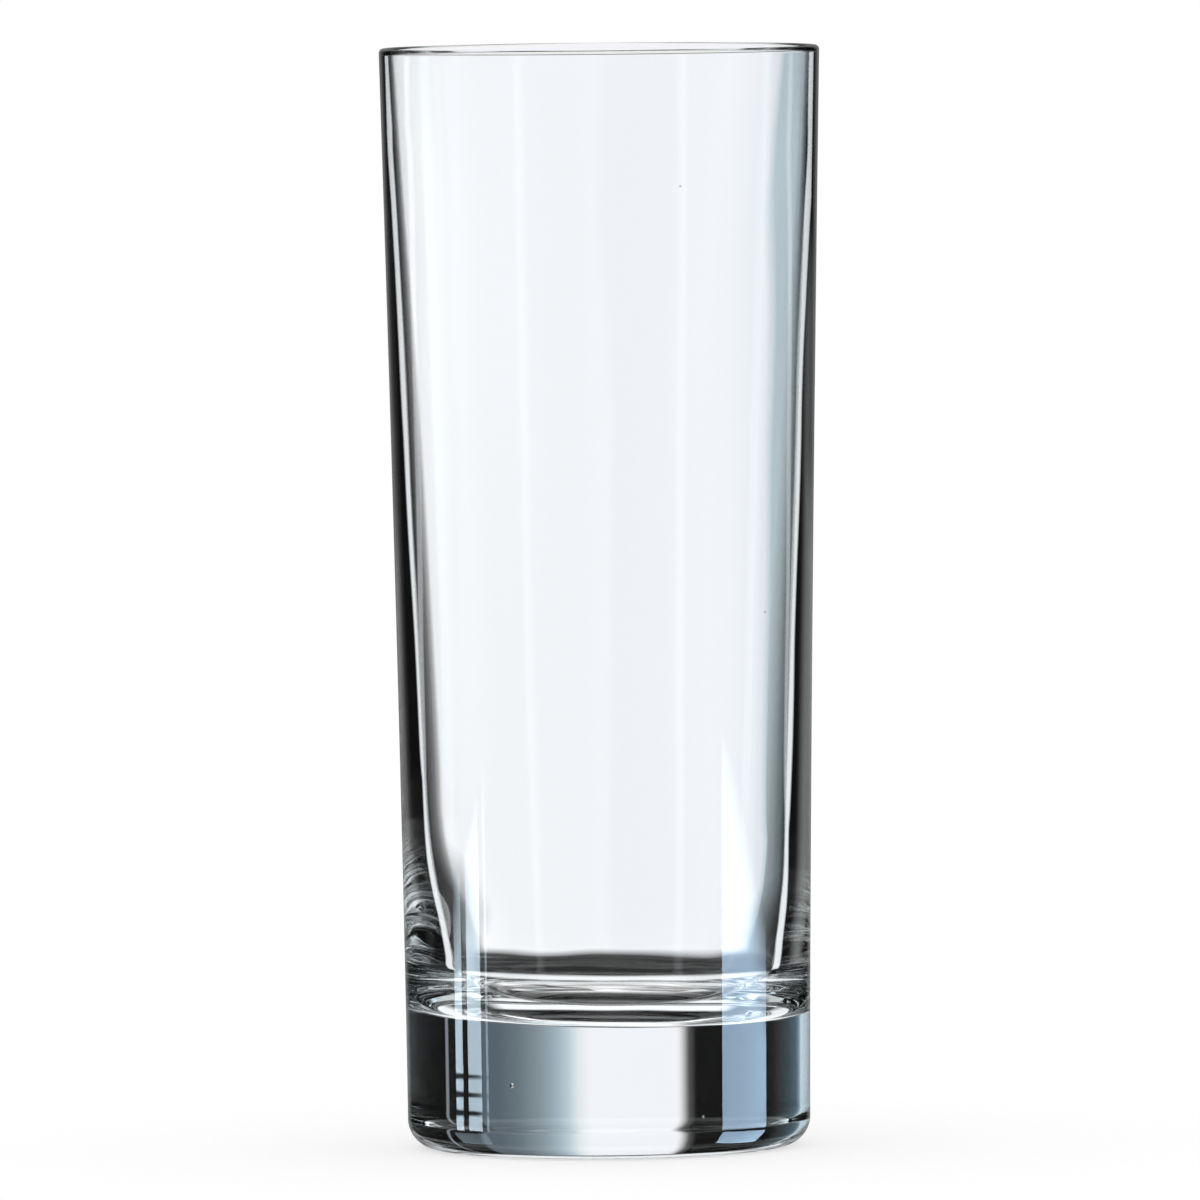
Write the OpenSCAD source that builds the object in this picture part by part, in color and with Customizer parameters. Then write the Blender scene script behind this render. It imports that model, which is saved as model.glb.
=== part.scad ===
// Highball glass: a tall, almost straight tumbler with a thick solid base.
// One piece of clear soda-lime glass, turned about +Z.
// The origin is the centre of the face that it stands on, and units are millimetres.

/* [Outside] */
// Height from the table to the top of the rim
height = 158; // [120:1:190]
// Outside diameter at the rim
rim_d = 63.2; // [56:0.2:80]
// Outside diameter at the foot
base_d = 57.8; // [50:0.2:62]
// How late the side flares: 1 is a straight cone, and more keeps the foot upright for longer
flare_power = 1.35; // [1:0.05:2.5]
// Radius of the rounded heel, where the side meets the underside
heel_r = 4.2; // [2:0.1:6]

/* [Wall and base] */
// Wall thickness at the rim
rim_wall = 1.3; // [1:0.1:2.5]
// Wall thickness level with the inside floor
foot_wall = 4; // [2.6:0.1:6]
// Thickness of the solid base in the middle
base_t = 18; // [10:0.2:34]
// Radius of the shallow dish that the inside floor is part of
dish_r = 220; // [80:10:400]
// Radius of the rounded corner between the inside floor and the wall
corner_r = 8.4; // [5:0.2:14]

/* [Underside] */
// Width of the flat ring that it stands on
ring_w = 4; // [2:0.5:8]
// How high the underside rises inside that ring
punt_h = 1.1; // [0.6:0.1:2]

/* [Hidden] */
$fn = 192;

glass_colour = [0.86, 0.92, 0.94, 0.35];

// How many straight steps stand in for the gentle curve of a side
side_steps = 16;
// The most that one step of an arc turns, in degrees
arc_step = 10;
// The fewest steps in an arc, however shallow it is
least_steps = 6;

base_r = base_d / 2;
rim_r = rim_d / 2;

// Outside radius at a height
function outer_r(z) = base_r + (rim_r - base_r) * pow(z / height, flare_power);

// Wall thickness at a height: it thins evenly from the floor to the rim
function wall(z) = foot_wall + (rim_wall - foot_wall) * (z - base_t) / (height - base_t);

// Inside radius at a height
function inner_r(z) = outer_r(z) - wall(z);

// Points of an arc about a centre, from one angle to another
function arc(centre, r, from, to) =
    let (steps = max(least_steps, ceil(abs(to - from) / arc_step)))
    [for (i = [0:steps]) let (a = from + (to - from) * i / steps)
        centre + r * [cos(a), sin(a)]];

// Heights between two levels, without the levels themselves
function between(from, to) =
    [for (i = [1:side_steps - 1]) from + (to - from) * i / side_steps];

// Heel: a quarter circle from the standing ring out to the upright side
heel_side_r = outer_r(heel_r);
ring_outer_r = heel_side_r - heel_r;
heel = arc([ring_outer_r, heel_r], heel_r, -90, 0);

// Underside: the cap of a wide sphere, from the middle out to the standing ring
ring_inner_r = ring_outer_r - ring_w;
punt_r = (pow(ring_inner_r, 2) + pow(punt_h, 2)) / (2 * punt_h);
punt = arc([0, punt_h - punt_r], punt_r, 90, 90 - asin(ring_inner_r / punt_r));

// Rim: a half circle over the whole wall
lip_r = rim_wall / 2;
lip_z = height - lip_r;
lip = arc([outer_r(lip_z) - lip_r, lip_z], lip_r, 0, 180);

// Inside corner: an arc that leaves the wall and runs smoothly into the dished floor
corner_x = inner_r(base_t + corner_r) - corner_r;
dish_z = base_t + dish_r;
corner_z = dish_z - sqrt(pow(dish_r - corner_r, 2) - pow(corner_x, 2));
floor_turn = atan2(corner_z - dish_z, corner_x);
corner = arc([corner_x, corner_z], corner_r, 0, floor_turn);

// Inside floor: from the corner to the middle, without the corner's own last point
dish_arc = arc([0, dish_z], dish_r, floor_turn, -90);
dish = [for (i = [1:len(dish_arc) - 1]) dish_arc[i]];

outside = [for (z = between(heel_r, lip_z)) [outer_r(z), z]];
inside = [for (z = between(lip_z, corner_z)) [inner_r(z), z]];

module tumbler() {
    color(glass_colour)
    rotate_extrude()
    polygon(concat(punt, heel, outside, lip, inside, corner, dish));
}

tumbler();
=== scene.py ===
# %% [markdown]
# A highball glass on a white table
#
# The real thing is one piece of clear glass: a tall, almost straight wall that grows thinner towards
# a rounded rim, over a thick solid base. This lesson turns that outline on a lathe, gives it the small
# faults of real glass and a true glass shader, and then builds the studio round it. The studio
# matters as much as the shape, because clear glass has no look of its own: all that we see in it
# is its surroundings, bent and mirrored.

# %% Load the fixed frame
import math

import bmesh
import bpy
from mathutils import Matrix, Quaternion, Vector, noise


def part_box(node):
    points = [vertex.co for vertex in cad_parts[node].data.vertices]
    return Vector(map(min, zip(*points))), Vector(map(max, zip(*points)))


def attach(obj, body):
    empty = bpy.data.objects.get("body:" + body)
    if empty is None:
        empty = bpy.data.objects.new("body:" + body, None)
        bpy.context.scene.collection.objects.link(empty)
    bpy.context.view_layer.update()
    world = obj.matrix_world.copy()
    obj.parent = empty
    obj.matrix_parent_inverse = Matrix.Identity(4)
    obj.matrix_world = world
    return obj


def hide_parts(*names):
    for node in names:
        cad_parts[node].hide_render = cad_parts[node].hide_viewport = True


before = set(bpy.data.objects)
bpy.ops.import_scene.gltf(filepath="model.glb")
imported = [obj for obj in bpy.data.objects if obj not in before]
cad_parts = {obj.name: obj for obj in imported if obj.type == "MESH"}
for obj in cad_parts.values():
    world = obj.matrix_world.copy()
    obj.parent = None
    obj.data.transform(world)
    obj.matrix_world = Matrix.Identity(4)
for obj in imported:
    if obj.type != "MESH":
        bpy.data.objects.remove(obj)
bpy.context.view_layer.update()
low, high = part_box("tumbler")
mm = 0.001
height = high.z
rim_radius = (high.x - low.x) / 2
print("rim across", round(2 * rim_radius / mm, 1), "mm, height", round(height / mm, 1), "mm")

# %% [markdown]
# The camera
#
# The photograph was taken with a long lens from well back: the two sides of the glass hardly draw
# together, the rim shows almost edge on, and the foot is seen from about four degrees above. The
# camera also leans by half a degree. A long lens far away gives the same flat look. The lens is
# worked out from how wide a strip of the world the picture takes in at the glass.

# %% Camera
camera_distance = 2.67
camera_height = 0.206
view_width = 172.3 * mm
view_centre = Vector((-0.6 * mm, 0, 78.55 * mm))
camera_lean = math.radians(0.55)

camera_data = bpy.data.cameras.new("camera")
camera = bpy.data.objects.new("camera", camera_data)
bpy.context.collection.objects.link(camera)
bpy.context.scene.camera = camera

camera.location = (view_centre.x, -camera_distance, camera_height)
sight_line = view_centre - camera.location
camera_data.lens = camera_data.sensor_width * sight_line.length / view_width
camera_data.clip_start = 0.1
camera_data.clip_end = 50
camera.rotation_mode = "QUATERNION"
lean = Quaternion((0, 0, 1), -camera_lean)
camera.rotation_quaternion = sight_line.to_track_quat("-Z", "Y") @ lean
print("lens", round(camera_data.lens), "mm")

# %% [markdown]
# The outline of the glass
#
# A glass blown in a mould is the same all the way round, so one outline describes it. The outside
# flares a little, and late: that is a power of the height. The wall thins evenly towards the rim.
# These are the sizes of the solid part that this piece stands for, so both fill the same space.

# %% Sizes of the glass
base_radius = 28.9 * mm
flare_power = 1.35
heel_radius = 4.2 * mm
rim_wall = 1.3 * mm
foot_wall = 4 * mm
base_thickness = 18 * mm
dish_radius = 220 * mm
corner_radius = 8.4 * mm
ring_width = 4 * mm
punt_height = 1.1 * mm
full_rim_radius = 31.6 * mm


def outer_radius(z):
    """Outside radius at a height."""
    return base_radius + (full_rim_radius - base_radius) * (max(z, 0) / height) ** flare_power


def inner_radius(z):
    """Inside radius at a height: the outside, less a wall that thins towards the rim."""
    climbed = (z - base_thickness) / (height - base_thickness)
    return outer_radius(z) - foot_wall - (rim_wall - foot_wall) * climbed


print("wall halfway up", round((outer_radius(height / 2) - inner_radius(height / 2)) / mm, 2), "mm")

# %% [markdown]
# Two moves draw the outline
#
# A spin turns the last point round a centre and leaves an arc behind it, which makes the heel, the
# rim and the inside corner. An extrude walks the last point along a curve, which makes the two long
# sides. Both start from the point where the last move ended, so the outline has no gaps.

# %% Two moves that draw an outline
def arc_to(outline, point, centre, turn, steps):
    """Spins the last point round a centre, given as (radius, height), and returns the new end."""
    made = bmesh.ops.spin(
        outline, geom=[point], cent=(centre[0], 0, centre[1]), axis=(0, -1, 0),
        angle=turn, steps=steps, use_duplicate=False,
    )
    return [g for g in made["geom_last"] if isinstance(g, bmesh.types.BMVert)][0]


def walk_to(outline, point, place_at, steps):
    """Extrudes the last point in steps. place_at gives (radius, height) for a share of the way."""
    for step in range(1, steps + 1):
        made = bmesh.ops.extrude_vert_indiv(outline, verts=[point])
        point = made["verts"][0]
        radius, z = place_at(step / steps)
        point.co = (radius, 0, z)
    return point


print("helpers for the outline", arc_to.__name__, walk_to.__name__)

# %% [markdown]
# Underside and heel
#
# The outline starts in the middle of the underside. A real glass is hollow there, by a millimetre,
# so that it stands on a ring and doesn't rock. The ring is drawn in a few steps, because it gets a
# pattern later. The heel is a quarter circle. The foot above it gets close rows of points, since fine
# ripples are pressed into it later.

# %% Underside and heel
heel_side = outer_radius(heel_radius)
ring_outer = heel_side - heel_radius
ring_inner = ring_outer - ring_width
ring_rows = 6
punt_radius = (ring_inner ** 2 + punt_height ** 2) / (2 * punt_height)
foot_top = 14 * mm


def ring_at(share):
    return ring_inner + ring_width * share, 0


def foot_at(share):
    z = heel_radius + (foot_top - heel_radius) * share
    return outer_radius(z), z


glass = bmesh.new()
point = glass.verts.new((0, 0, punt_height))
punt_turn = -math.asin(ring_inner / punt_radius)
point = arc_to(glass, point, (0, punt_height - punt_radius), punt_turn, steps=24)
point = walk_to(glass, point, ring_at, steps=ring_rows)
point = arc_to(glass, point, (ring_outer, heel_radius), math.pi / 2, steps=40)
point = walk_to(glass, point, foot_at, steps=40)
print("standing ring", round(2 * ring_outer / mm, 1), "mm across, points so far", len(glass.verts))

# %% [markdown]
# Side, rim and inside
#
# The rim of a real glass is melted round in a flame, so it is a half circle over the whole wall.
# Inside, the wall runs into the floor through a wide rounded corner, and the floor itself is a
# shallow dish. Each arc is made tangent to the next, because glass shows every kink. For the same
# reason the rows of points grow closer where a side meets an arc: smooth shading blends the slopes
# of neighbouring faces, and only short faces keep that blend short.

# %% Side, rim and inside
lip_radius = rim_wall / 2
lip_z = height - lip_radius
lip_centre = outer_radius(lip_z) - lip_radius
corner_x = inner_radius(base_thickness + corner_radius) - corner_radius
dish_z = base_thickness + dish_radius
corner_z = dish_z - math.sqrt((dish_radius - corner_radius) ** 2 - corner_x ** 2)
floor_turn = math.atan2(corner_x, dish_z - corner_z)
side_start = point.co.z


def side_at(share):
    z = side_start + (lip_z - side_start) * (1 - (1 - share) ** 2)
    return outer_radius(z), z


def inside_at(share):
    z = lip_z + (corner_z - lip_z) * (1 - math.cos(math.pi * share)) / 2
    return inner_radius(z), z


point = walk_to(glass, point, side_at, steps=60)
point = arc_to(glass, point, (lip_centre, lip_z), math.pi, steps=20)
point = walk_to(glass, point, inside_at, steps=72)
point = arc_to(glass, point, (corner_x, corner_z), floor_turn - math.pi / 2, steps=24)
point = arc_to(glass, point, (0, dish_z), -floor_turn, steps=16)
print("outline points", len(glass.verts), "ends at height", round(point.co.z / mm, 2), "mm")

# %% [markdown]
# Turning it
#
# A full spin about the upright axis, with use_merge so that the last copy joins the first, makes
# the wall in one go. The two ends of the outline lie on the axis, where all their copies fall on
# one spot, so the doubles there are merged to close both poles. Last, the normals are made to
# point outwards, because refraction needs to know which side is glass.

# %% Turn the outline
turns = 256
bmesh.ops.spin(
    glass, geom=glass.verts[:] + glass.edges[:], cent=(0, 0, 0), axis=(0, 0, 1),
    angle=2 * math.pi, steps=turns, use_merge=True, use_duplicate=False,
)
bmesh.ops.remove_doubles(glass, verts=glass.verts, dist=0.00002 * mm)
bmesh.ops.recalc_face_normals(glass, faces=glass.faces)
open_edges = [e for e in glass.edges if not e.is_manifold]
volume_ml = glass.calc_volume() / mm ** 3 / 1000
print("faces", len(glass.faces), "open edges", len(open_edges), "glass", round(volume_ml, 1), "ml")

# %% [markdown]
# The pattern on the standing ring
#
# The ring that a pressed glass stands on is stippled with tiny pits, which hide scratches and keep
# it from sticking to a wet table. Seen through the thick base they become a row of dark and light
# ticks. Here every other point of the ring's inner rows is lifted, as on a chessboard, so that each
# lifted point becomes a small pyramid-shaped pit. The two rows at the ring's edges stay down.

# %% Stipple the standing ring
pit_depth = 0.16 * mm
ring_points = [
    v for v in glass.verts
    if abs(v.co.z) < 0.01 * mm and ring_inner * 1.01 < v.co.xy.length < ring_outer * 0.995
]
pits = []
for vertex in ring_points:
    column = round(math.atan2(vertex.co.y, vertex.co.x) / (2 * math.pi) * turns)
    row = round((vertex.co.xy.length - ring_inner) / ring_width * ring_rows)
    if (column + row) % 2 == 0:
        pits.append(vertex)
bmesh.ops.translate(glass, verts=pits, vec=(0, 0, pit_depth))
print("pits", len(pits), "out of", len(ring_points), "points")

# %% [markdown]
# The wall swells near the floor
#
# The outside of the glass touched a smooth mould, but the inside was shaped by a plunger and by air,
# so it is never quite true. Where the wall runs into the floor it swells inwards, more at the left
# than at the right. A bell curve over the height gives each swell, and the cube of the sideways
# direction keeps it to its own side.

# %% Swells of the wall
# Each swell has a side, the height of its middle, how far it spreads up and down, and its thickness.
swells = [(-1, 24 * mm, 9 * mm, 1.5 * mm), (1, 24 * mm, 6.5 * mm, 0.7 * mm)]


def swell_at(sideways, z):
    """How much thicker the wall is: sideways runs from -1 at the left of the glass to 1 at the right."""
    total = 0
    for side, middle, spread, thickness in swells:
        share = max(0, side * sideways) ** 3
        total += thickness * share * math.exp(-((z - middle) / spread) ** 2 / 2)
    return total


print("swell at the left, 30 mm up", round(swell_at(-1, 30 * mm) / mm, 2), "mm")

# %% [markdown]
# Roll, streaks and slope
#
# The inside floor also slopes a little, the whole inside rolls by a few hundredths of a millimetre,
# and low down it is streaky. The eye reads all this at once, since it bends the lines behind the
# glass. Blender's own noise gives the roll and the streaks. The rim is left alone, because it was
# ground and melted, so the faults fade in below it.

# %% Uneven inside
past_middle = 0.6
level_rim = 12 * mm
floor_reach = 34 * mm
floor_slope = 0.026
roll = 0.045 * mm
roll_size = Vector((16, 16, 34)) * mm
more_at_floor = 2
floor_noise = 2.1
streak = 0.028 * mm
streak_size = Vector((7, 7, 2.2)) * mm


def is_inside(co):
    """True for a point of the cavity, which lies past the middle of the wall as seen from outside."""
    if co.z < base_thickness - 0.5 * mm or co.z > lip_z:
        return False
    outside = outer_radius(co.z)
    return co.xy.length < outside - past_middle * (outside - inner_radius(co.z))


def in_units(co, size):
    """A place measured in the size of the pattern along each axis."""
    return Vector((c / unit for c, unit in zip(co, size)))


moved = 0
for vertex in glass.verts:
    if not is_inside(vertex.co):
        continue
    place = in_units(vertex.co, roll_size)
    below_rim = min(1, (lip_z - vertex.co.z) / level_rim)
    near_floor = max(0, 1 - (vertex.co.z - base_thickness) / floor_reach) ** 2
    away = Vector((vertex.co.x, vertex.co.y, 0)).normalized()
    strength = roll * below_rim * (1 + more_at_floor * near_floor)
    vertex.co += away * (noise.noise(place) * strength - swell_at(away.x, vertex.co.z))
    vertex.co += away * noise.noise(in_units(vertex.co, streak_size)) * streak * near_floor
    vertex.co.z -= floor_slope * vertex.co.x * near_floor
    vertex.co.z += noise.noise(place * floor_noise) * more_at_floor * roll * near_floor
    moved += 1
print("points of the inside that were moved", moved)

# %% [markdown]
# Chill marks
#
# Where hot glass first touches the cooler mould it sets in fine ripples, called chill marks. They
# are less than two thousandths of a millimetre deep and can't be seen by themselves. But they tip the
# mirror image of a window out of sight and back, which cuts it into a ladder low down on the left.

# %% Chill marks
mark_depth = 0.0016 * mm
mark_spacing = 2.65 * mm
lowest_mark = 6.4 * mm
marked_side = Vector((-0.69, -0.72))
narrowness = 12
soft_ends = 5
marked = 0
for vertex in glass.verts:
    share = (vertex.co.z - heel_radius) / (foot_top - heel_radius)
    facing = vertex.co.xy.normalized().dot(marked_side)
    if not 0 <= share <= 1 or facing < 0:
        continue
    ripple = math.sin(2 * math.pi * (vertex.co.z - lowest_mark) / mark_spacing)
    strength = mark_depth * facing ** narrowness * min(1, soft_ends * share, soft_ends * (1 - share))
    vertex.co.xy *= 1 - strength * ripple / vertex.co.xy.length
    marked += 1
print("points with chill marks", marked)

# %% [markdown]
# Seeds
#
# Small bubbles that the melt never let go of are called seeds. Each is a hole in the glass, so its
# faces must look into the bubble: an icosphere is made and then turned inside out.

# %% Seeds
seed_places = [
    (Vector((-13.6, -24.6, 10.6)) * mm, 0.36 * mm),
    (Vector((13.2, -24.2, 5.9)) * mm, 0.2 * mm),
    (Vector((11.3, -28.6, 138.6)) * mm, 0.12 * mm),
    (Vector((22.4, -17.9, 77.5)) * mm, 0.14 * mm),
]
for place, radius in seed_places:
    ball = bmesh.ops.create_icosphere(
        glass, subdivisions=3, radius=radius, matrix=Matrix.Translation(place),
    )
    ball_faces = {face for vertex in ball["verts"] for face in vertex.link_faces}
    bmesh.ops.reverse_faces(glass, faces=list(ball_faces))
print("seeds", len(seed_places))

# %% [markdown]
# The finished piece
#
# Smooth shading hides the facets of the turned wall. The piece rides on the glass's one body and takes
# the place of the plain solid.

# %% Make the object
def add_object(name, shape):
    """Turns a finished bmesh into a mesh and puts it in the scene as an object."""
    mesh = bpy.data.meshes.new(name)
    shape.to_mesh(mesh)
    shape.free()
    piece = bpy.data.objects.new(name, mesh)
    bpy.context.collection.objects.link(piece)
    return piece


glass_tumbler = add_object("glass_tumbler", glass)
glass_tumbler.data.shade_smooth()
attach(glass_tumbler, "root")
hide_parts("tumbler")
print("triangles", sum(len(face.vertices) - 2 for face in glass_tumbler.data.polygons))

# %% [markdown]
# Clear glass
#
# The shader is dielectric: light bends by the glass's index of 1.52 and part of it is mirrored. The
# faint tint is in the volume and not on the surface, so the thin wall stays colourless and the thick
# base gathers a breath of cool green, as soda-lime glass does. Roughness is 0, because a glass that
# was polished by fire has no grain at all.

# %% Clear glass
glass_index = 1.52
clear_glass = bpy.data.materials.new("clear_glass")
clear_glass.use_nodes = True
glass_tree = clear_glass.node_tree
shader = glass_tree.nodes["Principled BSDF"]
shader.inputs["Base Color"].default_value = (1, 1, 1, 1)
shader.inputs["Roughness"].default_value = 0
shader.inputs["IOR"].default_value = glass_index
shader.inputs["Transmission Weight"].default_value = 1
glass_tumbler.data.materials.append(clear_glass)
print("index of refraction", glass_index)

# %% [markdown]
# Tint and waves
#
# The tint is a Volume Absorption, which darkens light by the way that it travels inside the glass.
# A very weak bump of slow waves stands for the ripple that cooling leaves on the skin. It is drawn
# out upwards, and it lies on Object coordinates, so it stays with the glass. One helper adds nodes,
# here and in every shader that follows.

# %% Tint and waves
def add_node(tree, kind, inputs, **settings):
    """Adds a shader node. Each input, by name or number, is given a value or a socket to link."""
    node = tree.nodes.new("ShaderNode" + kind)
    for name, value in settings.items():
        setattr(node, name, value)
    for name, value in inputs.items():
        if isinstance(value, bpy.types.NodeSocket):
            tree.links.new(value, node.inputs[name])
        else:
            node.inputs[name].default_value = value
    return node


tint_colour = (0.86, 0.95, 0.96, 1)
tint_density = 2.5
wave_height = 0.02 * mm
tint = add_node(glass_tree, "VolumeAbsorption", {"Color": tint_colour, "Density": tint_density})
glass_tree.links.new(tint.outputs[0], glass_tree.nodes["Material Output"].inputs["Volume"])
on_glass = add_node(glass_tree, "TexCoord", {}).outputs["Object"]
stretched = add_node(glass_tree, "Mapping", {"Vector": on_glass, "Scale": (1, 1, 0.35)})
waves = add_node(glass_tree, "TexNoise", {"Vector": stretched.outputs[0], "Scale": 90, "Detail": 1})
skin = add_node(glass_tree, "Bump", {
    "Strength": 0.5, "Distance": wave_height, "Height": waves.outputs["Fac"],
})
glass_tree.links.new(skin.outputs["Normal"], shader.inputs["Normal"])
print("nodes in the glass", len(glass_tree.nodes))

# %% [markdown]
# The studio, by direction
#
# Clear glass is lit by what stands round it. In the photograph that was a bright white card behind
# the glass, black cloth beyond it on both sides, tall windows at the left and right, and a glossy
# table top. All of it stands far off compared with the size of the glass, so it can be painted in the
# world shader by direction: the turn is the angle round the glass from straight behind it, and
# the rise is the angle above the horizon, both in degrees. Short helpers keep the wiring readable.

# %% World helpers
world = bpy.data.worlds.new("studio")
bpy.context.scene.world = world
world.use_nodes = True


def sky(kind, *values, **settings):
    """Adds a node to the world. The values go to its inputs in their order."""
    return add_node(world.node_tree, kind, dict(enumerate(values)), **settings)


def maths(operation, *values):
    """One step of arithmetic on numbers or sockets."""
    return sky("Math", *values, operation=operation).outputs[0]


def fade(value, start, end):
    """Runs from 0 to 1 while the value goes from start to end."""
    return sky("MapRange", value, start, end, 0.0, 1.0).outputs[0]


def strip(turn, middle, half_width, edge):
    """1 inside an upright strip of the surroundings and 0 outside it."""
    off_middle = maths("ABSOLUTE", maths("SUBTRACT", turn, middle))
    return fade(off_middle, half_width, half_width - edge)


direction = sky("SeparateXYZ", sky("TexCoord").outputs["Generated"])
turn = maths("DEGREES", maths("ARCTAN2", direction.outputs[0], direction.outputs[1]))
rise = maths("DEGREES", maths("ARCSINE", direction.outputs[2]))
print("world nodes so far", len(world.node_tree.nodes))

# %% [markdown]
# What the rise tells
#
# The camera looks down on the glass by a few degrees, and the wall, which is thicker at the bottom,
# tips the light a little further. Light that came through near the rim leaves the glass three degrees
# downwards, and light from near the floor six. So the rise also tells how low on the wall the light
# came through. One helper changes a number with the rise, and one picks out a band of rises.

# %% Helpers for the rise
def with_rise(at_first, change, start, end):
    """A number that changes by this much while the rise goes from start to end."""
    return maths("MULTIPLY_ADD", fade(rise, start, end), change, at_first)


def band(outer_low, inner_low, inner_high, outer_high):
    """1 for a rise between the two inner values and 0 outside the outer two."""
    return maths("MULTIPLY", fade(rise, outer_low, inner_low), fade(rise, outer_high, inner_high))


print("helpers for the rise", with_rise.__name__, band.__name__)

# %% [markdown]
# Colours of the surroundings
#
# More helpers paint. The ramp runs through a list of places and colours, with a Color Ramp node. It
# holds colours up to 1 only, so they are divided by the brightest and scaled back after it. The last
# helper lays one colour over another.

# %% Painting helpers
def grey(level):
    return (level, level, level)


def scaled(colour, share):
    """A colour made brighter or darker by a number or a socket."""
    inputs = {0: colour, "Scale": share}
    return add_node(world.node_tree, "VectorMath", inputs, operation="SCALE").outputs[0]


def ramp(value, stops):
    """Colours along a range of values: each stop is a value and the colour there."""
    start = stops[0][0]
    length = stops[-1][0] - start
    brightest = max(max(colour) for place, colour in stops)
    node = sky("ValToRGB", maths("DIVIDE", maths("SUBTRACT", value, start), length))
    elements = node.color_ramp.elements
    while len(elements) < len(stops):
        elements.new(0.5)
    for element, (place, colour) in zip(elements, stops):
        element.position = (place - start) / length
        element.color = (*(share / brightest for share in colour), 1)
    return scaled(node.outputs[0], brightest)


def lay_over(factor, under, over):
    """Lays one colour over another where the factor is 1."""
    inputs = {0: factor}
    for number, colour in ((6, under), (7, over)):
        inputs[number] = colour if isinstance(colour, bpy.types.NodeSocket) else (*colour, 1)
    return add_node(world.node_tree, "Mix", inputs, data_type="RGBA").outputs[2]


print("a middle grey", grey(0.5))

# %% [markdown]
# How often was the light bent?
#
# Three kinds of light reach the eye through this glass, and the count of bends tells them apart.
# Light through the solid base is bent twice, going in and coming out. At the edges of the wall it is
# bent, thrown back once by the inside skin, and bent again: three times. Through the clear middle it
# crosses two walls and is bent four times. Light that strays round the inside floor has more. The
# Light Path node gives this count, and so each kind can be given its own view of the studio. For a
# world shader the node counts the last step out to the sky too, so one is taken off.

# %% Count of bends
path = sky("LightPath")
bends = maths("SUBTRACT", path.outputs["Ray Depth"], 1.0)
through_edge = maths("COMPARE", bends, 3.0, 0.1)
through_walls = maths("COMPARE", bends, 4.0, 0.1)
strayed = maths("GREATER_THAN", bends, 4.5)
print("world nodes so far", len(world.node_tree.nodes))

# %% [markdown]
# The white card and the black cloth
#
# Straight behind the glass is the card, with black cloth beyond it. The card ends sharply on the
# left, and on the right it steps down to a cool grey that fades slowly. Lower down the wall is
# thicker and bends light further, so the ends of the card lean outwards there. Beyond the cloth the
# pattern comes back every eighth of a turn, so that the glass also has a card behind it when it is
# seen from another side.

# %% Turn from the middle of the nearest card
half_eighth = 22.5
end_of_cloth = 36.0
off_middle = maths("ABSOLUTE", turn)
eighth = maths("WRAP", turn, half_eighth, -half_eighth)
near_card = maths("LESS_THAN", off_middle, end_of_cloth)
sector = maths("MULTIPLY_ADD", near_card, maths("SUBTRACT", turn, eighth), eighth)
right_part = maths("MAXIMUM", sector, 0.0)
left_part = maths("MINIMUM", sector, 0.0)
left_end = maths("DIVIDE", left_part, with_rise(1.0, 0.17, -3.8, -6.0))
right_end = maths("DIVIDE", right_part, with_rise(1.0, 1.55, -3.1, -5.7))
print("world nodes so far", len(world.node_tree.nodes))

# %% [markdown]
# The card's colours
#
# A ramp for the left half, one for the white of the right half and one for the grey beyond it are
# laid over each other. The wall loses light where we look along it, and the more so where it is
# thin. So the card is painted brighter towards its ends, to make up for that.

# %% Card behind the walls
cloth = grey(0.005)
card_shade_grey = (0.53, 0.64, 0.7)
card = ramp(left_end, [
    (-26, cloth), (-22, grey(0.08)), (-18, grey(0.14)), (-15.5, (0.21, 0.22, 0.24)),
    (-13.4, grey(0.48)), (-12, (0.955, 0.98, 1.01)), (-5, (1.01, 1.04, 1.07)),
    (0, (1.055, 1.085, 1.12)),
])
card_right = ramp(right_end, [
    (2, (1.02, 1.05, 1.09)), (4.9, (0.84, 0.88, 0.93)), (5.7, card_shade_grey),
])
# Painted shade: beyond its white, the card's right side is painted in cool greys that darken towards the
# cloth, as a side that lies in shade.
shaded_card_side = ramp(right_part, [
    (0, card_shade_grey), (11, (0.5, 0.6, 0.65)), (13, (0.41, 0.49, 0.52)),
    (16, (0.29, 0.34, 0.37)), (19, (0.21, 0.25, 0.27)), (23, (0.15, 0.19, 0.2)),
    (28, (0.09, 0.11, 0.12)), (33, grey(0.04)), (end_of_cloth, cloth),
])
card = lay_over(fade(right_part, 0.0, 0.1), card, card_right)
card = lay_over(fade(right_end, 5.6, 5.7), card, shaded_card_side)

loss_per_degree = 0.085
most_degrees = 10.0
degrees_aside = maths("DIVIDE", maths("ABSOLUTE", sector), with_rise(1.0, 1.43, -3.1, -5.7))
lost = maths("MULTIPLY", maths("MINIMUM", degrees_aside, most_degrees), loss_per_degree)
cards = scaled(card, maths("MULTIPLY_ADD", lost, lost, 1.0))
print("world nodes so far", len(world.node_tree.nodes))

# %% [markdown]
# The card in the table
#
# The base of the glass is low, so what shows through it is not the card but its mirror image in the
# glossy table top: a little darker, with a sharper edge and a longer fade. A thin grey line far to
# the right is the end of the cloth, and far to the left a soft blue glow begins. This is what the
# base shows from the camera. Looking further down into the table, the card comes back every eighth
# of a turn here too.

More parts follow.
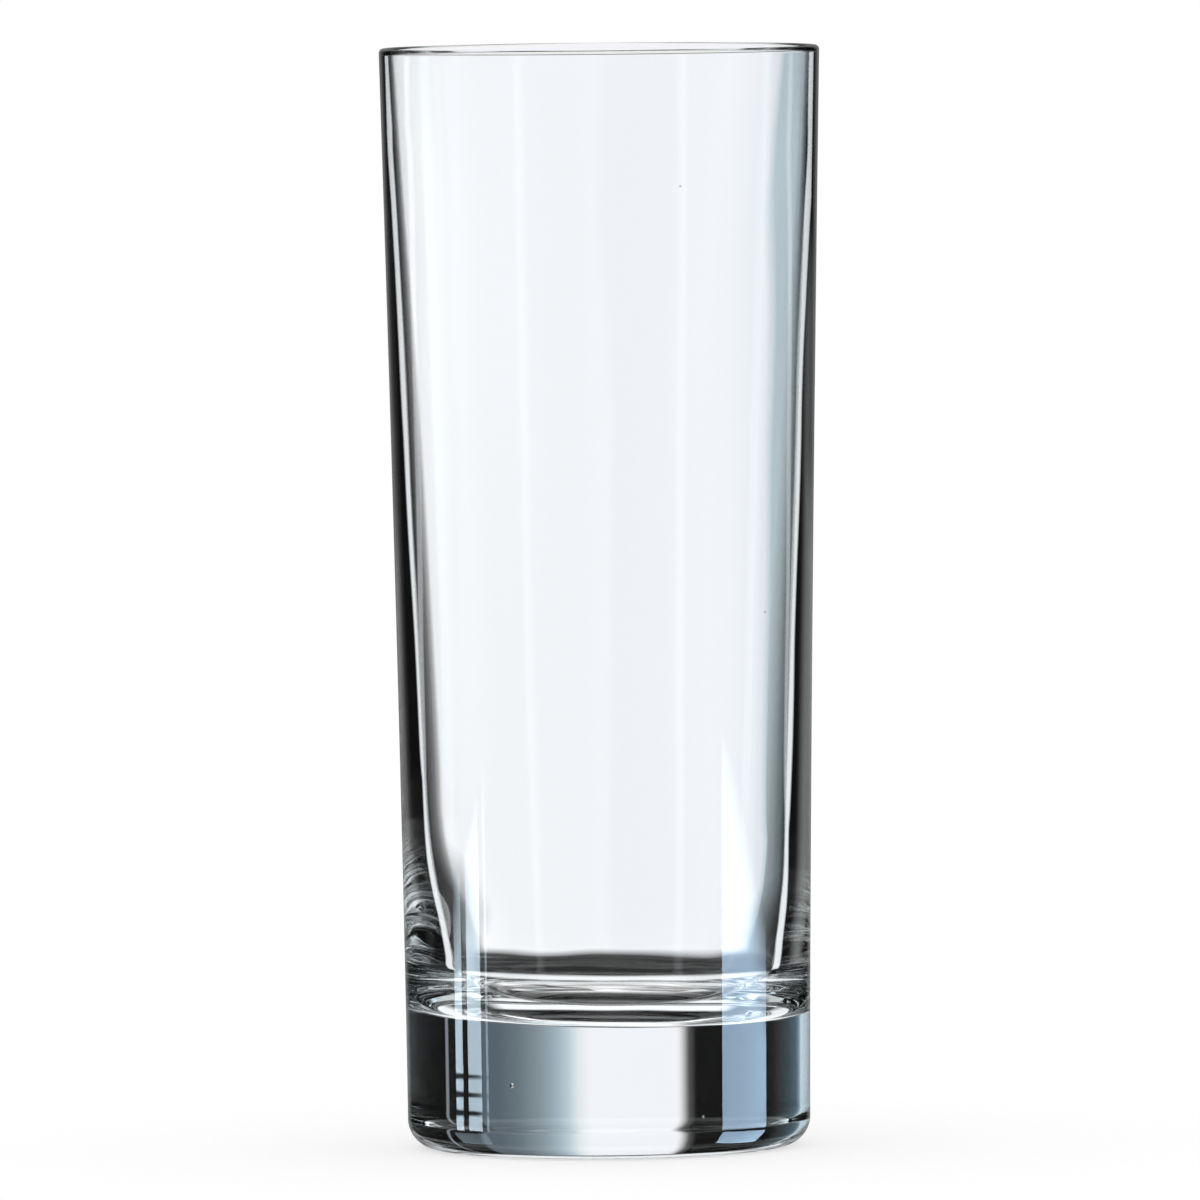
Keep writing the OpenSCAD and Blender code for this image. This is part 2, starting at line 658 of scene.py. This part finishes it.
# %% Card behind the base
level_look = maths("MULTIPLY", fade(rise, -5.3, -5.1), maths("LESS_THAN", off_middle, 90.0))
table_sector = maths("MULTIPLY_ADD", level_look, maths("SUBTRACT", turn, eighth), eighth)
blue_glow = (0.78, 0.98, 1.1)
card_white = (0.97, 0.98, 1.02)
line_grey = (0.25, 0.28, 0.3)
cards_in_table = ramp(table_sector, [
    (-82, blue_glow), (-66.5, blue_glow), (-64.5, (0.3, 0.42, 0.5)),
    (-61, (0.09, 0.15, 0.2)), (-54, (0.05, 0.08, 0.095)), (-46, grey(0.03)), (-42, cloth),
    (-18, cloth), (-16.2, grey(0.1)), (-14.5, grey(0.8)), (-13.8, card_white),
    (3.6, card_white), (5.8, (0.83, 0.88, 0.9)), (8, (0.53, 0.64, 0.71)),
    (9.9, (0.4, 0.5, 0.57)), (12, (0.3, 0.39, 0.44)), (14.1, (0.247, 0.3, 0.33)),
    (18.8, (0.145, 0.19, 0.22)), (24, (0.105, 0.135, 0.163)), (28.5, (0.1, 0.13, 0.16)),
    (30, cloth), (41.5, cloth), (42.0, line_grey), (42.8, line_grey), (43.4, cloth),
])
print("world nodes so far", len(world.node_tree.nodes))

# %% [markdown]
# The edges of the wall
#
# Light that the inside skin threw back shows the studio squeezed into a few millimetres along each
# side of the glass. Near the rim that is black cloth, and lower down there is some grey at the very
# edge. This pattern comes back every quarter of a turn.

# %% Edges of the wall
half_quarter = 45.0
edge_sector = maths("WRAP", turn, half_quarter, -half_quarter)
edge_view = ramp(edge_sector, [
    (-26, cloth), (-20, grey(0.05)), (-14, grey(0.22)), (-8, grey(0.33)), (8, (0.33, 0.35, 0.35)),
    (14, (0.31, 0.33, 0.33)), (20, (0.22, 0.24, 0.25)), (25, grey(0.12)), (30, grey(0.02)),
    (33, cloth),
])
edge_view = lay_over(fade(rise, -4.4, -5.2), cloth, edge_view)
print("world nodes so far", len(world.node_tree.nodes))

# %% [markdown]
# The white strip
#
# Well to each side stands a white strip, and it draws the bright hairline that runs down the inside
# of each wall. The wall grows thicker downwards and turns this light further aside, so the strip
# leans outwards as it goes down. It grows narrower on the way and broad again at the foot, and it is
# a little broader at the right. On the viewer's own side there is only cloth.

# %% White strip
right_extra = 0.8
strip_softness = 0.5
strip_white = (1.0, 1.05, 1.08)
strip_middle = with_rise(26.0, 11.0, -4.35, -5.35)
strip_middle = with_rise(strip_middle, 8.0, -5.35, -6.7)
strip_half = with_rise(4.3, -1.1, -4.4, -6.7)
right_edge = maths("GREATER_THAN", edge_sector, 0.0)
strip_half = maths("MULTIPLY_ADD", right_edge, right_extra, strip_half)
strip_half = with_rise(strip_half, 1.5, -7.0, -11.0)
off_strip = maths("ABSOLUTE", maths("SUBTRACT", maths("ABSOLUTE", edge_sector), strip_middle))
white_strip = maths("MULTIPLY", maths("SUBTRACT", strip_half, off_strip), strip_softness)
white_strip = sky("Clamp", white_strip).outputs[0]
in_front = fade(off_middle, 135.0, 140.0)
edge_view = lay_over(white_strip, edge_view, strip_white)
edge_view = lay_over(in_front, edge_view, cloth)
print("world nodes so far", len(world.node_tree.nodes))

# %% [markdown]
# Stray light
#
# Light that has been bent five times or more went round the inside floor or along the wall, or the
# back wall of the glass threw it back. What was thrown back aside is kept dim, so that it doesn't
# stripe the clear middle. What strays along the wall leaves it a few degrees downwards and meets
# only cloth. The rest meets the card, and above the card it is black, up to a high soft light. The
# room low down on the viewer's own side is black too.

# %% Stray light
stray_view = ramp(edge_sector, [
    (-17, cloth), (-15, grey(1.2)), (6, grey(1.2)), (9, (0.7, 0.82, 0.88)), (15, (0.3, 0.38, 0.41)),
    (26, (0.08, 0.1, 0.12)), (36, cloth),
])
back_image = maths("MULTIPLY", maths("LESS_THAN", bends, 7.5), fade(off_middle, 50.0, 60.0))
stray_view = lay_over(back_image, stray_view, grey(0.15))
along_wall = band(-12.6, -11.8, -2.8, -2.2)
above_card = band(6.0, 13.0, 24.0, 28.0)
low_in_front = maths("MULTIPLY", in_front, fade(rise, 28.0, 24.0))
unlit = maths("MAXIMUM", along_wall, maths("MAXIMUM", above_card, low_in_front))
stray_view = lay_over(unlit, stray_view, cloth)
stray_view = lay_over(band(27.0, 30.0, 36.0, 38.5), stray_view, grey(0.65))
print("world nodes so far", len(world.node_tree.nodes))

# %% [markdown]
# All together
#
# Each kind of light gets its own view. Seen through the clear middle, a dusky band below the card
# draws the dark line behind the inside floor. High up there is a bright ceiling, which comes last.

# %% Put the views together
dusk_grey = grey(0.07)
surround = lay_over(through_walls, cards_in_table, cards)
surround = lay_over(through_edge, surround, edge_view)
surround = lay_over(strayed, surround, stray_view)
dusk = maths("MULTIPLY", maths("MULTIPLY", through_walls, near_card), band(-14.0, -13.4, -11.5, -7.2))
surround = lay_over(dusk, surround, dusk_grey)
print("world nodes so far", len(world.node_tree.nodes))

# %% [markdown]
# The table from above
#
# Below twelve degrees the light meets the table, which counts as white there, so that the glass stays
# bright when it is seen from above. It has eight soft lobes of grey, so that the glass still has
# something to bend. Stray light and the edges of the wall meet a dimmer table, and the edges only
# from twenty-five degrees down.

# %% Table and ceiling
lobe_count = 8.0
lost_when_strayed = 0.75
lost_at_edges = 0.45
ceiling = grey(1.4)
lobes = maths("COSINE", maths("RADIANS", maths("MULTIPLY", turn, lobe_count)))
pale_table = ramp(lobes, [(-1, grey(0.5)), (-0.2, grey(0.6)), (0.5, grey(0.98)), (1, grey(0.98))])
below = maths("MULTIPLY", fade(rise, -11.5, -12.5), maths("LESS_THAN", dusk, 0.01))
level_edge = maths("MULTIPLY", through_edge, fade(rise, -30.0, -20.0))
below = maths("MULTIPLY", below, maths("SUBTRACT", 1.0, level_edge))
strayed_loss = maths("MULTIPLY", strayed, lost_when_strayed)
light_loss = maths("MAXIMUM", strayed_loss, maths("MULTIPLY", through_edge, lost_at_edges))
table_light = scaled(pale_table, maths("SUBTRACT", 1.0, light_loss))
surround = lay_over(below, surround, table_light)
surround = lay_over(fade(rise, 53, 59), surround, ceiling)
print("world nodes so far", len(world.node_tree.nodes))

# %% [markdown]
# Two details beside the card
#
# The very edges of the thick base bend light by more than seventy degrees. The right one looks into
# a bright strip on the left, and the left one into a dark strip on the right.

# %% Strips beside the card
blue_strip = strip(turn, middle=-71.5, half_width=5.5, edge=3.0)
dark_strip = strip(turn, middle=75.5, half_width=8.0, edge=2.0)
surround = lay_over(blue_strip, surround, blue_glow)
surround = lay_over(dark_strip, surround, cloth)
print("world nodes so far", len(world.node_tree.nodes))

# %% [markdown]
# Windows in the mirror
#
# Only the mirror images on the front of the glass show the windows. On the right there is one wide
# window of blue daylight, and on the left two tall panes with a bar between them and a bright frame
# edge beside them. Glass mirrors only some five parts in a hundred, so the windows are many times
# brighter than the card. Their image is strong on the upright base. Higher up, where the flared
# wall tips it, it is all but lost in the white of the card.

# %% Places of the windows
right_window = strip(turn, middle=94.7, half_width=17.2, edge=0.5)
panes = strip(turn, middle=-92.1, half_width=10.4, edge=0.5)
bar = strip(turn, middle=-90.0, half_width=2.3, edge=0.4)
frame_edge = strip(turn, middle=-106.4, half_width=1.0, edge=0.5)
panes = maths("MULTIPLY", panes, maths("SUBTRACT", 1.0, bar))
print("world nodes so far", len(world.node_tree.nodes))

# %% [markdown]
# Light of the windows
#
# The image is full only on the base, where the side stands upright. A Map Range over the rise cuts it
# off above the inside floor, down to a fiftieth, and fades it where the heel turns under. The rest of
# the room that the glass mirrors is dark, with a little grey straight ahead and at the very edges.

# %% Windows
right_daylight = (5.5, 7.8, 10.3)
left_daylight = (8.0, 10.0, 11.5)
frame_light = (3.4, 4.3, 4.9)
left_on_side = 0.02
on_base = sky("MapRange", rise, -4.7, -4.88, left_on_side, 1.0).outputs[0]
on_base = maths("MULTIPLY", on_base, fade(rise, -11.0, -8.5))
mirror_room = ramp(off_middle, [(14, grey(0.25)), (25, cloth), (70, cloth), (76, grey(0.1))])
mirrored = lay_over(maths("MULTIPLY", right_window, on_base), mirror_room, right_daylight)
mirrored = lay_over(maths("MULTIPLY", frame_edge, on_base), mirrored, frame_light)
mirrored = lay_over(maths("MULTIPLY", panes, on_base), mirrored, left_daylight)
print("brightest window", max(left_daylight), "times the card")

# %% [markdown]
# Who sees what
#
# The Light Path node also tells the kinds of ray apart. The camera itself sees plain white, so the
# background is white. Rays that light the table see an even, soft glow. Mirrored rays see the room
# with its windows, and rays that went through the glass see the card. A ray that the glass has bent
# counts as glossy too, so transmission is laid over glossy, and the camera comes last.

# %% Light paths
ambient = grey(0.85)
seen = lay_over(path.outputs["Is Glossy Ray"], ambient, mirrored)
seen = lay_over(path.outputs["Is Transmission Ray"], seen, surround)
seen = lay_over(path.outputs["Is Camera Ray"], seen, grey(1))
world.node_tree.links.new(seen, world.node_tree.nodes["Background"].inputs["Color"])
print("world nodes", len(world.node_tree.nodes))

# %% [markdown]
# The white floor
#
# The floor is a wide disc just under the glass. It is matt and pale, and part of its white is its own
# glow, so that it meets the white background without a line, while the glass still darkens it where
# it stands. Mirrored and bent rays pass it by, since the table top that they see is painted in the
# world.

# %% White floor
def add_to_stage(name, shape, material, hidden_from):
    """Puts a piece of the studio in the scene, and hides it from some kinds of ray."""
    piece = add_object(name, shape)
    piece.data.materials.append(material)
    for kind in hidden_from:
        setattr(piece, "visible_" + kind, False)


def disc_shape(radius, y, z):
    """A flat round disc that faces up."""
    disc = bmesh.new()
    bmesh.ops.create_circle(disc, cap_ends=True, segments=96, radius=radius)
    bmesh.ops.translate(disc, verts=disc.verts, vec=(0, y, z))
    return disc


floor_radius = 3
floor_level = -0.05 * mm
floor_grey = 0.5
floor_glow = 0.6
floor_paint = bpy.data.materials.new("white_floor")
floor_paint.use_nodes = True
matt = floor_paint.node_tree.nodes["Principled BSDF"]
matt.inputs["Base Color"].default_value = (*grey(floor_grey), 1)
matt.inputs["Roughness"].default_value = 1
matt.inputs["Specular IOR Level"].default_value = 0
matt.inputs["Emission Color"].default_value = (1, 1, 1, 1)
matt.inputs["Emission Strength"].default_value = floor_glow
white_disc = disc_shape(floor_radius, 0, floor_level)
add_to_stage("white_floor", white_disc, floor_paint, ("transmission", "glossy"))
print("floor", 2 * floor_radius, "m across")

# %% [markdown]
# The shaded spot under the glass
#
# Rays that leave through the underside, or low through the side, meet the table close to the glass,
# where the glass both shades it and lights it. A disc that only bent rays can see plays that part.
# First its outer rim is worked out, where it fades away, since the open table is lit evenly again.

# %% Rim of the spot
spot_radius = 93 * mm
fade_start = 82 * mm
spot_back = 45 * mm
spot_paint = bpy.data.materials.new("shade_spot")
spot_paint.use_nodes = True
spot_tree = spot_paint.node_tree
spot_tree.nodes.remove(spot_tree.nodes["Principled BSDF"])


def spot(kind, *values, **settings):
    """Adds a node to the spot's material. The values go to its inputs in their order."""
    return add_node(spot_tree, kind, dict(enumerate(values)), **settings)


on_table = spot("TexCoord").outputs["Object"]
from_middle = spot("VectorMath", on_table, (0, spot_back, 0), operation="DISTANCE").outputs["Value"]
spot_shade = spot("MapRange", from_middle, fade_start, spot_radius, 1, 0, interpolation_type="SMOOTHSTEP")
print("spot", round(2 * spot_radius / mm), "mm across")

# %% [markdown]
# Rings of light in the shade
#
# A glass gathers light like a lens and lays it on the table as bright rings: a faint one under the
# punt, and a strong one round the foot, beyond which the table lies in the shade. Through the base
# they show as the white bands round the inside floor, with the dark bands between. A colour ramp
# over the distance from the axis paints them: each level stands behind its distance in millimetres.

# %% Rings of light
ring_levels = [
    (0, 0.003), (11, 0.003), (12.5, 0.12), (15, 0.12), (16.5, 0.003), (22, 0.003), (24, 1.0), (42, 1.0),
    (50, 0.85), (55, 0.45), (62, 0.05), (70, 0.015), (93, 0.015), (105, 0.02), (120, 0.03),
]
pale_blue = (0.95, 0.98, 1.0)
rings_end = ring_levels[-1][0] * mm
from_axis = spot("VectorMath", on_table, operation="LENGTH").outputs["Value"]
share_out = spot("Math", from_axis, rings_end, operation="DIVIDE")
rings = spot("ValToRGB", share_out.outputs[0])
ring_stops = rings.color_ramp.elements
while len(ring_stops) < len(ring_levels):
    ring_stops.new(0.5)
for stop, (distance, level) in zip(ring_stops, ring_levels):
    stop.position = distance * mm / rings_end
    stop.color = (*(share * level for share in pale_blue), 1)
print("ring stops", len(ring_stops))

# %% [markdown]
# Front and back of the rings
#
# The light comes from the front and the back, so the rings fade away at the two sides. How far back a
# place lies, as a share of its distance from the axis, tells the front (about -1) from the sides
# (about 0) and the back (about 1).

# %% Front and back of the rings
least_light = 0.04
most_light = 1.1
back = spot("SeparateXYZ", on_table).outputs["Y"]
how_far_back = spot("Math", back, from_axis, operation="DIVIDE").outputs[0]
front_light = spot("MapRange", how_far_back, -0.2, -0.42, least_light, most_light).outputs[0]
back_light = spot("MapRange", how_far_back, 0.45, 0.7, least_light, most_light).outputs[0]
ring_strength = spot("Math", front_light, back_light, operation="MAXIMUM").outputs[0]
print("rings lit from", least_light, "to", most_light)

# %% [markdown]
# Clear for light that was bent twice
#
# Light that was bent only twice has come straight through the base, and for that the disc is clear,
# since the table mirrors the white card there. A Mix Shader chooses between a transparent and a
# glowing surface. Its factor is the fading rim from above, times a test of the bends.

# %% Finish the spot
spot_level = -0.02 * mm
spot_bends = spot("LightPath").outputs["Ray Depth"]
bent_often = spot("Math", spot_bends, 2.5, operation="GREATER_THAN").outputs[0]
spot_cover = spot("Math", bent_often, spot_shade.outputs[0], operation="MULTIPLY").outputs[0]
clear = spot("BsdfTransparent").outputs[0]
glow = spot("Emission", rings.outputs[0], ring_strength).outputs[0]
spot_mix = spot("MixShader", spot_cover, clear, glow)
spot_tree.links.new(spot_mix.outputs[0], spot_tree.nodes["Material Output"].inputs["Surface"])

spot_disc = disc_shape(spot_radius, spot_back, spot_level)
add_to_stage("shade_spot", spot_disc, spot_paint, ("camera", "diffuse", "glossy", "shadow"))
print("nodes in the spot", len(spot_tree.nodes))

# %% [markdown]
# Window light on the table
#
# The rounded heel tips downwards, so it mirrors the table just beside the glass. The windows light
# the table there on both sides, and that carries their mirror image on round the heel. Two glowing
# patches play that light, and only mirrored rays can see them.

# %% Window light
patch_level = -0.01 * mm
patch_glow = 10


def add_patch(name, corners, colour):
    """A glowing four-sided patch on the table, with its corners given in millimetres."""
    patch = bmesh.new()
    for x, y in corners:
        patch.verts.new((x * mm, y * mm, patch_level))
    bmesh.ops.contextual_create(patch, geom=patch.verts[:])
    paint = bpy.data.materials.new(name)
    paint.use_nodes = True
    tree = paint.node_tree
    tree.nodes.remove(tree.nodes["Principled BSDF"])
    glow = add_node(tree, "Emission", {"Color": (*colour, 1), "Strength": patch_glow})
    tree.links.new(glow.outputs[0], tree.nodes["Material Output"].inputs["Surface"])
    add_to_stage(name, patch, paint, ("camera", "diffuse", "transmission", "shadow"))


right_corners = [(16.9, -24.0), (27.6, -28.1), (34.0, -15.2), (22.6, -18.0)]
right_blue = (0.52, 0.75, 1.0)
left_corners = [(-18.4, -22.9), (-29.4, -25.7), (-34.2, -15.7), (-23.1, -18.1)]
left_blue = (0.16, 0.2, 0.23)
add_patch("right_window_light", right_corners, right_blue)
add_patch("left_window_light", left_corners, left_blue)
print("patches of window light", 2)

# %% [markdown]
# Render settings
#
# Light crosses many glass skins in the base before it gets out, and seen from above the wall pipes it
# down to the foot with some forty turns to and fro. If the path were cut short, the base and the
# sides would show black patches. The Standard view transform keeps white white.

# %% Render settings
longest_path = 64
scene = bpy.context.scene
scene.view_settings.view_transform = "Standard"
scene.cycles.max_bounces = longest_path
scene.cycles.transmission_bounces = longest_path
scene.cycles.glossy_bounces = longest_path
scene.cycles.transparent_max_bounces = longest_path
print("longest path", longest_path, "steps")
